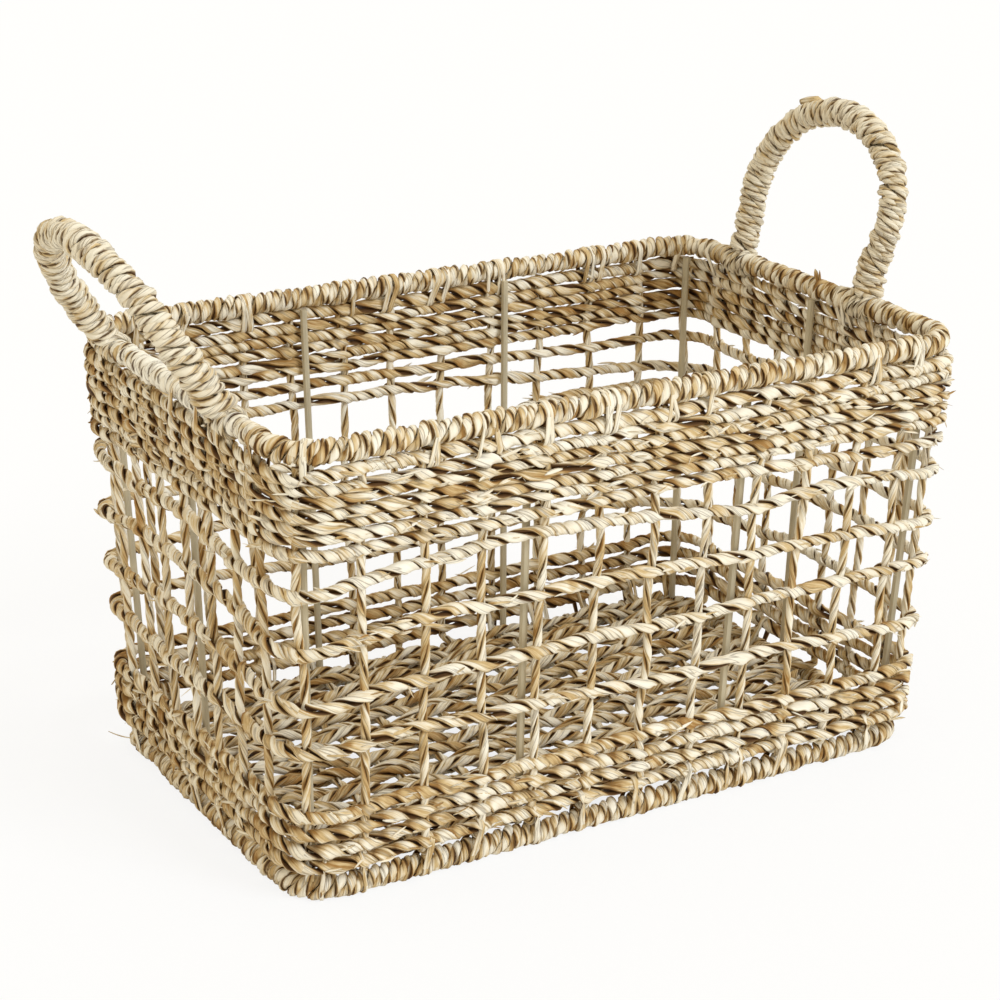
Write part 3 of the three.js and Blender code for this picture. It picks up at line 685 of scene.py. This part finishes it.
class WeaveRows(bpy.types.Operator):
    """Twines two strands round each other and round the stakes, for each row"""

    bl_idname = "basket.rows"
    bl_label = "Woven rows"
    step = 0.0013
    kinds = {  # how far a row strays up and down, its painted dimness at the sides and its tone, and how much painted shade darkens the left wall
        "low": (0.001, 0.4, -0.02, 0.04),
        "open": (0.0012, 0.75, 0.07, 0.12),
        "band": (0.001, 0.5, 0.0, 0.04),
    }
    # painted shade that darkens the back wall
    back_painted_shade = 0.12
    stray_places = 60  # round a whole row
    width_vary = 0.08
    bulge_vary, bulge_places = 0.0006, 45
    top_lift, top_swell = 0.0012, 0.22  # the top row on the long sides
    half_turns, odds = (1, 2, 3, 4), (0.05, 0.4, 0.45, 0.1)  # between two stakes
    loosen, loosen_places = 0.65, 110
    # how far from a stake the strands part, and how much painted shade dims them there
    parting_reach, parting_dim = 0.0045, 0.5
    corner_reach = 0.024
    # painted shade on the strands' sides below edge; their painted dimness comes from kinds
    grass = Grass((-0.08, 0.08), 0.28, edge=-0.45)
    flake_count, flake_length, flake_width = 60, (0.006, 0.012), (0.0012, 0.0026)
    fibre_count, fibre_length, fibre_width = 16, (0.004, 0.008), (0.0005, 0.001)

    def execute(self, context):
        basket, strands, _, (grass, _, _) = settings_of(context)
        for row in range(ROW_COUNT):
            node = f"woven_row_{row + 1:02d}"
            made = self.weave(basket, strands, row, node)
            made.finish(f"twined_row_{row + 1:02d}", grass, node)
        return {"FINISHED"}

    def weave(self, basket, strands, row, node):
        made = Strands(100 + row)
        rng = made.rng
        height = middle_height(node)
        wall = basket.wall(height)
        places = basket.stations(wall, height)
        count = int(wall.length / self.step)
        distance = np.arange(count) * wall.length / count
        shares = distance / wall.length
        line, out = wall.at(distance)
        is_low = row < basket.sizes.low_rows
        kind = "low" if is_low else "open" if row < ROW_COUNT - basket.sizes.band_rows else "band"
        stray, dim, tone, left_painted_shade = self.kinds[kind]
        width = np.full(count, getattr(strands, f"{kind}_width"))
        width = width * (1 + self.width_vary * drift(rng, shares, self.stray_places, True))
        lift = ease(distance, places, basket.row_heights(node, height))
        lift = lift + stray * drift(rng, shares, self.stray_places, True)
        if row == ROW_COUNT - 1:
            on_long_side = np.clip(np.abs(out[:, 1]) * 3 - 2, 0, 1)
            lift = lift + self.top_lift * on_long_side
            width = width * (1 + self.top_swell * on_long_side)
        bulge = self.bulge(basket, strands, distance, places)
        bulge = bulge + self.bulge_vary * drift(rng, shares, self.bulge_places, True)
        line = line + UP * lift[:, None] + out * bulge[:, None] + ORIGIN
        half_turns = rng.choice(self.half_turns, basket.count, p=self.odds)
        if half_turns.sum() % 2:
            half_turns[0] += 1
        turns = np.concatenate(([0], np.cumsum(half_turns)))
        phase = -np.pi * np.interp(distance, places, turns)
        phase = phase + self.loosen * drift(rng, shares, self.loosen_places, True)
        nearest = np.abs(distance[:, None] - places[None]).min(1)
        parting = np.exp(-((nearest / self.parting_reach) ** 2))
        radius_out = strands.row_radius + (strands.row_opening - strands.row_radius) * parting
        # Painted shade: the rows dim where they part at a stake, and darken on the back and left walls.
        dim = dim * (1 - self.parting_dim * parting)
        tone = tone - self.back_painted_shade * np.clip(out[:, 1], 0, 1) - left_painted_shade * np.clip(-out[:, 0], 0, 1)
        grass = self.grass._replace(dim=dim, tone=tone)
        spread, size = (radius_out, width * 0.3), (width, strands.row_thickness)
        ply(made, line, out, UP, phase, spread, size, grass, True)
        self.flakes(made, line, out, width[0])
        return made

    def bulge(self, basket, strands, distance, places):
        """How far a row stands off the wall: it gives way at the corners, most of all at the slack one."""
        reaches = np.array((1.0, 1.5, 1.0, 1.0, 1.0)) * strands.corner_bulge
        reaches[3] = strands.slack_bulge
        corners = [*basket.corners, basket.count]
        away = (distance[:, None] - places[corners][None]) / self.corner_reach
        return (reaches * np.exp(-(away**2))).sum(1)

    def flakes(self, made, line, out, width):
        """Tips and split edges of blades that lie along a row and stand off a little."""
        rng = made.rng
        for i in rng.integers(0, len(line), self.flake_count):
            along = np.cross(UP, out[i]) * rng.choice((-1, 1))
            start = line[i] + out[i] * rng.uniform(0.0022, 0.0034) + UP * width * rng.uniform(-0.45, 0.45)
            towards = unit(along + UP * rng.uniform(-0.35, 0.35) + out[i] * rng.uniform(0.0, 0.25))
            tone = rng.uniform(-0.15, 0.2)
            reach = rng.uniform(*self.flake_length)
            made.end(start, towards, reach, rng.uniform(*self.flake_width), tone, (0.3, 0.1), 0.2)
        for i in rng.integers(0, len(line), self.fibre_count):
            beside = np.cross(UP, out[i]) * rng.uniform(-1.2, 1.2)
            towards = unit(out[i] + beside + UP * rng.uniform(-0.5, 0.5))
            start = line[i] + out[i] * 0.002
            reach = rng.uniform(*self.fibre_length)
            made.end(start, towards, reach, rng.uniform(*self.fibre_width), rng.uniform(-0.1, 0.3))


class SetStakes(bpy.types.Operator):
    """Runs the stakes down the walls and across the base"""

    bl_idname = "basket.stakes"
    bl_label = "Stakes"
    step = 0.0025
    top = 0.2195
    corner_foot = 0.002  # how far a corner stake goes below the base stakes
    stray_length, loosen = 0.032, 0.6
    # painted shade: a little dimmer where the two strands pass at the sides, with their sides darkened only
    # far round the back
    grass = Grass((-0.1, 0.06), dim=0.9, edge=-1.3)

    def execute(self, context):
        basket, strands, _, (grass, _, _) = settings_of(context)
        long_spaces, short_spaces = basket.spaces
        level = basket.sizes.base_level
        lines = {}
        for i in range(1, long_spaces):
            ends = (i, 2 * long_spaces + short_spaces - i)
            lines["cross", i] = (200 + i, *self.run(basket, strands, ends, False))
        for j in range(1, short_spaces):
            ends = (basket.count - j, long_spaces + j)
            lines["long", j] = (300 + j, *self.run(basket, strands, ends, True))
        for number, k in enumerate(basket.corners, 1):
            lines["corner", number] = (400 + number, *self.down_wall(basket, k, level - self.corner_foot))
        size = (strands.stake_width, strands.stake_thickness)
        spread = (strands.stake_radius, strands.stake_radius)
        shape = (strands.stake_lean, self.stray_length, strands.stake_lay, self.loosen)
        for (kind, number), (seed, line, out) in lines.items():
            made = Strands(seed)
            twine(made, line + ORIGIN, out, *shape, spread, size, self.grass)
            made.finish(f"{kind}_stake_strands_{number:02d}", grass, f"{kind}_stake_{number:02d}")
        return {"FINISHED"}

    def down_wall(self, basket, k, foot):
        """Points down the wall from the rim, and their outward directions."""
        head, out = basket.stake_at(k, self.top)
        end, _ = basket.stake_at(k, foot)
        count = int((self.top - foot) / self.step)
        shares = np.linspace(0, 1, count)[:, None]
        return blend(head, end, shares), np.broadcast_to(out, (count, 3))

    def run(self, basket, strands, ends, lengthways):
        """A stake from one wall through the base to the other. A lengthways one passes over and under."""
        level, bend = basket.sizes.base_level, basket.sizes.fold_radius
        lines, outs = [], []
        for k in ends:
            line, out = self.down_wall(basket, k, level + bend)
            turn = np.linspace(0, np.pi / 2, 6)[1:, None]
            fold = line[-1] - out[-1] * bend + out[-1] * bend * np.cos(turn) - UP * bend * np.sin(turn)
            lines.append(np.concatenate([line, fold]))
            outs.append(np.concatenate([out, out[-1] * np.cos(turn) - UP * np.sin(turn)]))
        first, last = lines[0][-1], lines[1][-1]
        count = int(np.linalg.norm(last - first) / self.step)
        shares = np.linspace(0, 1, count + 1)[1:-1, None]
        across = blend(first, last, shares)
        if lengthways:
            places = np.array([first[0], *basket.crossings(first[1]), last[0]])
            signs = np.array([0.0, *(1 - 2 * (np.arange(basket.spaces[0] - 1) % 2)), 0.0])
            across[:, 2] += strands.stake_swing * ease(across[:, 0], places, signs)
        line = np.concatenate([lines[0], across, lines[1][::-1]])
        return line, np.concatenate([outs[0], np.broadcast_to(-UP, across.shape), outs[1][::-1]])


class WrapRings(bpy.types.Operator):
    """Winds grass round the rim and the base ring, and stitches them to the rows next to them"""

    bl_idname = "basket.ring_wraps"
    bl_label = "Ring wraps"
    steps_per_turn = 21
    pale = (-0.085, 0.075)  # between these the left side of the rim is wrapped in paler grass
    pale_tone, pale_fade = 0.4, 0.02
    # painted shade: 0.45 is the dimness where the blades pass at the sides, and below edge their sides darken
    grass = Grass((-0.06, 0.05), 0.26, 0.45, edge=-0.35)
    stitches, odds = (0, 1, 2, 3), (0.3, 0.35, 0.25, 0.1)  # at each stake
    stitch_points = 30

    def execute(self, context):
        basket, _, wraps, (grass, _, _) = settings_of(context)
        rows = {"rim": (RISE, f"woven_row_{ROW_COUNT:02d}", 500), "base": (0.0, "woven_row_01", 501)}
        for ring, (z, row, seed) in rows.items():
            made = self.wrap(basket, wraps, z, middle_height(row), seed)
            made.finish(f"{ring}_winding", grass, f"{ring}_wrap")
        return {"FINISHED"}

    def wrap(self, basket, wraps, z, row_z, seed):
        made = Strands(seed, sides=8)
        ring = WallLine(*basket.halves(z), basket.sizes.corner_radius)
        turns = round(ring.length / wraps.ring_lead)
        count = turns * self.steps_per_turn
        line, out = ring.at(np.arange(count) * ring.length / count)
        line = line + UP * z + ORIGIN
        tone = 0.0
        if z:
            start, end = self.pale
            y = line[:, 1]
            middle = np.clip((y - start) / self.pale_fade, 0, 1) * np.clip((end - y) / self.pale_fade, 0, 1)
            tone = np.where(line[:, 0] < ORIGIN[0], self.pale_tone * middle, 0.0)
        grass = self.grass._replace(tone=tone)
        winding = (turns, ring.length, wraps.ring_strands, wraps.ring_radius, True, grass)
        cords(made, wraps, line, out, UP, *winding)
        self.stitch(made, basket, wraps, z, row_z)
        if z:
            self.knob(made, wraps)
        else:
            self.wisp(made)
        return made

    def knob(self, made, wraps):
        """The brown end of a cord, which stands up from the right side of the rim."""
        foot = np.array((RIM_HALF_X, -0.004, RISE + wraps.ring_radius - 0.002)) + ORIGIN
        for shift, tone in ((-0.0012, -0.45), (0.0012, -0.3)):
            towards = unit(np.array((0.1, 0.35 + 60 * shift, 1.0)))
            made.end(foot + (0, shift, 0), towards, 0.0068, 0.0034, tone, (1, 0.15), 0.1)

    def wisp(self, made):
        """A long fibre that stands out from the left side of the base ring."""
        share = np.linspace(0, 1, 14)[:, None]
        root = np.array((-BASE_HALF_X - 0.005, 0.088, 0.002)) + ORIGIN
        line = root + share * (-0.0105, 0.007, 0.0) + share**2 * (-0.001, 0.001, 0.0035)
        out = np.array((0.3, 0.5, 1.0))
        made.lay(line, out, 0.0009, 0.0007, tone=-0.05, edge=-3, tips=(1, 0.4))

    def stitch(self, made, basket, wraps, z, row_z):
        """At most stakes, a blade or two go round the ring and the row next to it."""
        beside_place, slant = 0.006, 0.004
        sunk_in = 0.0002  # into the ring's wrapping
        rng = made.rng
        ring = WallLine(*basket.halves(z), basket.sizes.corner_radius)
        wall = basket.wall(row_z)
        towards = np.sign(z - row_z)
        turn = np.linspace(0, np.pi, 9)[:, None]
        for place in basket.stations(ring, z)[:-1]:
            for _ in range(rng.choice(self.stitches, p=self.odds)):
                beside = place + rng.uniform(-beside_place, beside_place)
                middle, out = ring.at(np.array([beside]))
                far, _ = wall.at(np.array([beside / ring.length * wall.length]))
                middle, out = middle[0] + UP * z + ORIGIN, out[0]
                along = np.cross(UP, out)
                deep = np.dot(far[0] + ORIGIN - middle, out)
                far = middle + out * deep + UP * (row_z - z) + along * rng.uniform(-slant, slant)
                arc = out * np.cos(turn) + towards * UP * np.sin(turn)
                near = middle + (wraps.ring_radius - sunk_in) * arc
                back = far - wraps.stitch_reach * arc
                line = resample(np.concatenate([near, back]), self.stitch_points)
                away = unit(resample(np.concatenate([arc, -arc]), self.stitch_points))
                width = wraps.stitch_width * rng.uniform(0.75, 1.3)
                made.lay(line, away, width, wraps.stitch_thickness, closed=True, tone=rng.uniform(-0.1, 0.15))


def resample(points, count):
    """Evenly spaced points round a closed outline."""
    loop = np.concatenate([points, points[:1]])
    _, distance = travel(loop)
    wanted = np.arange(count) * distance[-1] / count
    return np.stack([np.interp(wanted, distance, loop[:, axis]) for axis in range(3)], axis=-1)


class WeaveBase(bpy.types.Operator):
    """Weaves the base of twisted strands, over and under the cross stakes"""

    bl_idname = "basket.base"
    bl_label = "Base mat"
    step = 0.0018
    ropes_per_space = 3
    stake_room = 0.005  # the width that a long stake needs among the ropes
    past_edge = 0.002
    end_insets, end_drop, end_pitch = (0.001, -0.007), 0.0034, 0.0075  # the ropes across the ends
    shape = (0.0006, 0.02, 0.025, 0.4)  # stray, its length, lay and looseness
    thickness, rope_radius = 0.0028, 0.0016
    # painted shade: dimmer where the strands pass at the sides, and darker below edge
    grass = Grass((-0.2, 0.08), dim=0.75, edge=-0.8)

    def execute(self, context):
        basket, strands, _, (grass, _, _) = settings_of(context)
        level = basket.sizes.base_level
        made = Strands(600, sides=8)
        low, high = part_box("base_mat")
        end_x = (high.x - low.x) / 2
        limit = (high.y - low.y) / 2
        half_y = basket.halves(level)[1]
        stakes = (2 * np.arange(basket.spaces[1] + 1) / basket.spaces[1] - 1) * half_y
        stakes[0], stakes[-1] = -limit - self.past_edge, limit + self.past_edge
        count = int(2 * end_x / self.step)
        x = np.linspace(-end_x, end_x, count)
        number = 0
        for left, right in zip(stakes, stakes[1:]):
            pitch = (right - left - self.stake_room) / self.ropes_per_space
            for n in range(self.ropes_per_space):
                y = left + self.stake_room / 2 + (n + 0.5) * pitch
                places = np.array([-end_x, *basket.crossings(y), end_x])
                signs = 2.0 * ((np.arange(len(places)) + number) % 2) - 1
                swing = strands.mat_swing * ease(x, places, signs)
                self.rope(made, np.stack([x, np.full(count, y), level + swing], axis=-1), pitch)
                number += 1
        y = np.linspace(-limit, limit, int(2 * limit / self.step))
        for side in (-1, 1):
            for inset in self.end_insets:
                across = np.full(len(y), side * (end_x + inset))
                drop = np.full(len(y), level - self.end_drop)
                self.rope(made, np.stack([across, y, drop], axis=-1), self.end_pitch)
        made.finish("base_weave", grass, "base_mat")
        return {"FINISHED"}

    def rope(self, made, line, pitch):
        spread, size = (self.rope_radius, pitch * 0.24), (pitch * 0.7, self.thickness)
        twine(made, line + ORIGIN, -UP, *self.shape, spread, size, self.grass)


class Hoop:
    """The middle line of a handle, from its front foot to its back one."""

    bend_end = 0.8  # of the rise, where a bent foot has come back to the arch

    def __init__(self, wraps, name):
        left = name == "left"
        settings = [getattr(wraps, f"{name}_{part}") for part in ("rise", "front_in", "back_in", "lean")]
        self.rise, self.front_in, self.back_in, lean = settings
        self.turn, self.bow = (wraps.left_turn, wraps.left_bow) if left else (0.0, 0.0)
        feet = [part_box(f"{name}_handle_lashing_{end}") for end in ("front", "back")]
        front, back = [(low.y + high.y) / 2 for low, high in feet]
        front, back = front - self.front_in, back + self.back_in
        self.arch = (back - front) / 2
        self.foot = np.array(((-1 if left else 1) * RIM_HALF_X, (front + back) / 2, RISE)) + ORIGIN
        self.lean = np.array(Matrix.Rotation(-lean if left else lean, 3, "Y")).T
        self.foot_height, self.straight = wraps.handle_foot, wraps.straight_foot
        self.leg = self.rise - self.arch - self.foot_height
        self.length = 2 * self.leg + np.pi * self.arch
        self.lashings = {"front": self.front_in - self.arch, "back": self.arch - self.back_in}

    def at(self, walked):
        """Places at distances walked from the front foot, and their outward directions."""
        arch, rise, straight = self.arch, self.rise, self.straight
        turn = np.clip((walked - self.leg) / arch, 0, np.pi)
        height = self.foot_height + np.minimum(walked, self.leg) + arch * np.sin(turn)
        height = height - np.maximum(walked - self.leg - np.pi * arch, 0)
        share = np.clip((height - straight) / (self.bend_end * rise - straight), 0, 1)
        bend = (1 + np.cos(np.pi * share)) / 2
        y = -arch * np.cos(turn) + bend * np.where(turn < np.pi / 2, self.front_in, -self.back_in)
        x = self.turn * y / arch * height / rise + self.bow * np.sin(np.pi * height / rise)
        line = np.stack([x, y, height], axis=-1)
        forward, _ = travel(line)
        across = np.stack([np.zeros_like(y), -forward[:, 2], forward[:, 1]], axis=-1)
        return line @ self.lean + self.foot, across @ self.lean


class WrapHandles(bpy.types.Operator):
    """Winds pale grass round the handles and lashes their feet to the rim"""

    bl_idname = "basket.handles"
    bl_label = "Handles"
    windings = {"left": (4, 0.0178), "right": (6, 0.0265)}  # cords side by side, and length of one full turn
    steps_per_turn = 22
    rod_points = 90
    # painted shade: 0.5 and 0.7 are the dimness where the blades pass at the sides
    grass = Grass((-0.06, 0.05), 0.26, 0.5)
    lashing_points, lashing_lays = 44, 3
    lashing_grass = Grass(dim=0.7)

    def execute(self, context):
        _, _, wraps, (_, pale, painted) = settings_of(context)
        for number, name in enumerate(self.windings):
            hoop = Hoop(wraps, name)
            body = f"{name}_handle"
            made = self.wind(wraps, hoop, *self.windings[name], 700 + number)
            if name == "right":
                self.stub(made, wraps, hoop)
            made.finish(f"{body}_winding", pale, f"{body}_wrap", body, "pale_grass")
            made = self.rod(wraps, hoop, 710 + number)
            made.finish(f"{body}_rod", painted, f"{body}_wire", body, "painted_wire")
            for end, y in hoop.lashings.items():
                made = self.lash(wraps, hoop, y, 740 + number * 2 + (y > 0))
                made.finish(f"{body}_binding_{end}", pale, f"{body}_lashing_{end}", body, "pale_grass")
        return {"FINISHED"}

    def walk(self, hoop, lead):
        turns = hoop.length / lead
        return turns, np.linspace(0, hoop.length, int(turns * self.steps_per_turn))

    def wind(self, wraps, hoop, strands, lead, seed):
        made = Strands(seed, sides=10)
        turns, walked = self.walk(hoop, lead)
        swell = wraps.foot_swell * np.exp(-((walked / wraps.foot_reach) ** 2))
        line, across = hoop.at(walked)
        side = np.array((-1.0, 0, 0)) @ hoop.lean
        winding = (turns, hoop.length, strands, wraps.handle_radius * (1 + swell), False, self.grass)
        cords(made, wraps, line, across, side, *winding)
        return made

    def rod(self, wraps, hoop, seed):
        """The bent wire inside the winding."""
        made = Strands(seed, sides=10)
        line, across = hoop.at(np.linspace(0, hoop.length, self.rod_points))
        made.lay(line, across, wraps.wire_width, wraps.wire_width, groove=0.0)
        return made

    def stub(self, made, wraps, hoop):
        """The thick cut end of a cord, which lies along the hoop."""
        sunk, before, reach, rise = 0.0008, 0.004, 0.0125, 0.18
        _, lead = self.windings["right"]
        line, across = hoop.at(self.walk(hoop, lead)[1])
        place = int(wraps.stub_share * len(line))
        along = unit(line[place + 1] - line[place])
        start = line[place] + across[place] * (wraps.handle_radius - sunk) - along * before
        lit = np.array((1, 1, 1, 1, 1, 0.9, 0.7, 0.35))
        share = np.linspace(0, 1, len(lit))[:, None]
        points = start + (along + across[place] * rise) * share * reach
        made.lay(points, across[place], 0.0064, 0.0052, tone=-0.35, lit=lit, edge=-2, tips=(1, 0.9))

    def lash(self, wraps, hoop, y, seed):
        """Turns of a cord round the rim, under a foot of the handle."""
        reach_vary, drift_vary, slant = 0.0001, 0.0002, 0.0014
        made = Strands(seed, sides=8)
        rng = made.rng
        turn = np.linspace(0, 2 * np.pi, self.lashing_points, endpoint=False)
        shares = turn / (2 * np.pi)
        ring = np.stack([np.cos(turn), np.zeros_like(turn), np.sin(turn)], axis=-1)
        side = np.array((0.0, 1.0, 0.0)) @ hoop.lean
        turns = wraps.lashing_turns
        pitch = wraps.lashing_width / turns
        for n in range(turns):
            place = y + (n + 0.5 - turns / 2) * pitch
            reach = wraps.lashing_radius + rng.uniform(-reach_vary, reach_vary)
            reach = reach + drift_vary * drift(rng, shares, 6, True)
            line = ring * reach[:, None]
            line[:, 1] = place + rng.uniform(-slant, slant) * np.cos(turn + rng.uniform(*ANY_PHASE))
            phase = 2 * np.pi * self.lashing_lays * shares + rng.uniform(*ANY_PHASE)
            width = pitch * 0.75
            spread, size = (0.0005, width * 0.28), (width, 0.0015)
            line, out = line @ hoop.lean + hoop.foot, ring @ hoop.lean
            ply(made, line, out, side, phase, spread, size, self.lashing_grass, True)
        return made


# The stage


class SetStage(bpy.types.Operator):
    """Sets a pale floor, soft light and a camera at the height of the photograph's"""

    bl_idname = "basket.stage"
    bl_label = "Stage"
    floor_size, floor_colour, floor_white = 12, (0.9, 0.9, 0.9, 1), 0.85
    sky_colour, sky_strength = (1, 0.90, 0.70, 1), 0.9
    sun_colour, sun_strength, sun_width = (0.77, 0.87, 1), 1.62, 25
    sun_from = (0.55, -1.1, 0.95)
    azimuth, elevation, roll = -31.5, 20.17, 0.76
    camera_distance, camera_right, camera_up, camera_lens = 1.2505, -0.0096, 0.0197, 83.8

    def execute(self, context):
        self.floor()
        self.world(context)
        self.lamps()
        self.camera(context)
        return {"FINISHED"}

    def floor(self):
        bpy.ops.object.select_all(action="DESELECT")
        bpy.ops.mesh.primitive_plane_add(size=self.floor_size, location=(0, 0, 0))
        floor = bpy.context.object
        floor.name = "floor"
        paint = Paint(bpy.data.materials.new("floor"))
        lit = paint.node("ShaderNodeBsdfDiffuse", {}, {"Color": self.floor_colour})
        paint.before_white(lit, "ShaderNodeEmission", self.floor_white, "ShaderNodeOutputMaterial")
        floor.data.materials.append(paint.owner)

    def world(self, context):
        """Soft warm light from all round, on a white background."""
        context.scene.world = bpy.data.worlds.new("studio")
        paint = Paint(context.scene.world)
        kind = "ShaderNodeBackground"
        soft = paint.node(kind, {}, {"Color": self.sky_colour, "Strength": self.sky_strength})
        paint.before_white(soft, kind, 1.0, "ShaderNodeOutputWorld")

    def lamps(self):
        """One broad sun from the front right, above."""
        bpy.ops.object.light_add(type="SUN", location=(0.8, -1.2, 1.6))
        sun = bpy.context.object
        sun.name = "key"
        sun.data.energy = self.sun_strength
        sun.data.color = self.sun_colour
        sun.data.angle = math.radians(self.sun_width)
        sun.rotation_euler = Vector(self.sun_from).to_track_quat("Z", "Y").to_euler()

    def camera(self, context):
        """Camera solved from the corners of both rings."""
        azimuth, elevation, roll = [math.radians(turn) for turn in (self.azimuth, self.elevation, self.roll)]
        level = math.cos(elevation)
        back = Vector((math.sin(azimuth) * level, -math.cos(azimuth) * level, math.sin(elevation)))
        right = (-back).cross(Vector((0, 0, 1))).normalized()
        up = right.cross(-back)
        rolled_right = right * math.cos(roll) + up * math.sin(roll)
        rolled_up = up * math.cos(roll) - right * math.sin(roll)
        place = Vector((ORIGIN[0], 0, ORIGIN[2] + RISE / 2)) + back * self.camera_distance
        place = place + rolled_right * self.camera_right + rolled_up * self.camera_up
        data = bpy.data.cameras.new("camera")
        data.lens = self.camera_lens
        camera = bpy.data.objects.new("camera", data)
        context.scene.collection.objects.link(camera)
        turned = Matrix((rolled_right, rolled_up, back)).transposed()
        camera.matrix_world = Matrix.Translation(place) @ turned.to_4x4()
        context.scene.camera = camera
        context.scene.view_settings.view_transform = "Standard"


class BasketPanel(bpy.types.Panel):
    """The basket's sizes, colours and steps"""

    bl_idname = "VIEW3D_PT_basket"
    bl_label = "Grass basket"
    bl_space_type = "VIEW_3D"
    bl_region_type = "UI"
    bl_category = "Basket"

    def draw(self, context):
        for operator in OPERATORS:
            self.layout.operator(operator.bl_idname)
        for group in GROUPS:
            box = self.layout.box()
            settings = getattr(context.scene, group)
            for name in settings.bl_rna.properties.keys():
                if name not in ("rna_type", "name"):
                    box.prop(settings, name)


GROUPS = {
    "basket_sizes": BasketSizes,
    "basket_strands": StrandSizes,
    "basket_wraps": WrapSizes,
    "basket_colours": BasketColours,
}
OPERATORS = (PaintWires, WeaveRows, SetStakes, WrapRings, WeaveBase, WrapHandles, SetStage)


def register():
    for kind in (*GROUPS.values(), *OPERATORS, BasketPanel):
        bpy.utils.register_class(kind)
    for name, kind in GROUPS.items():
        setattr(bpy.types.Scene, name, PointerProperty(type=kind))


def unregister():
    for name in GROUPS:
        delattr(bpy.types.Scene, name)
    for kind in reversed((*GROUPS.values(), *OPERATORS, BasketPanel)):
        bpy.utils.unregister_class(kind)


def main():
    register()
    bpy.ops.object.select_all(action="DESELECT")
    bpy.ops.basket.stage()
    bpy.ops.basket.wires()
    bpy.ops.basket.rows()
    bpy.ops.basket.stakes()
    bpy.ops.basket.ring_wraps()
    bpy.ops.basket.base()
    bpy.ops.basket.handles()


if __name__ == "__main__":
    main()
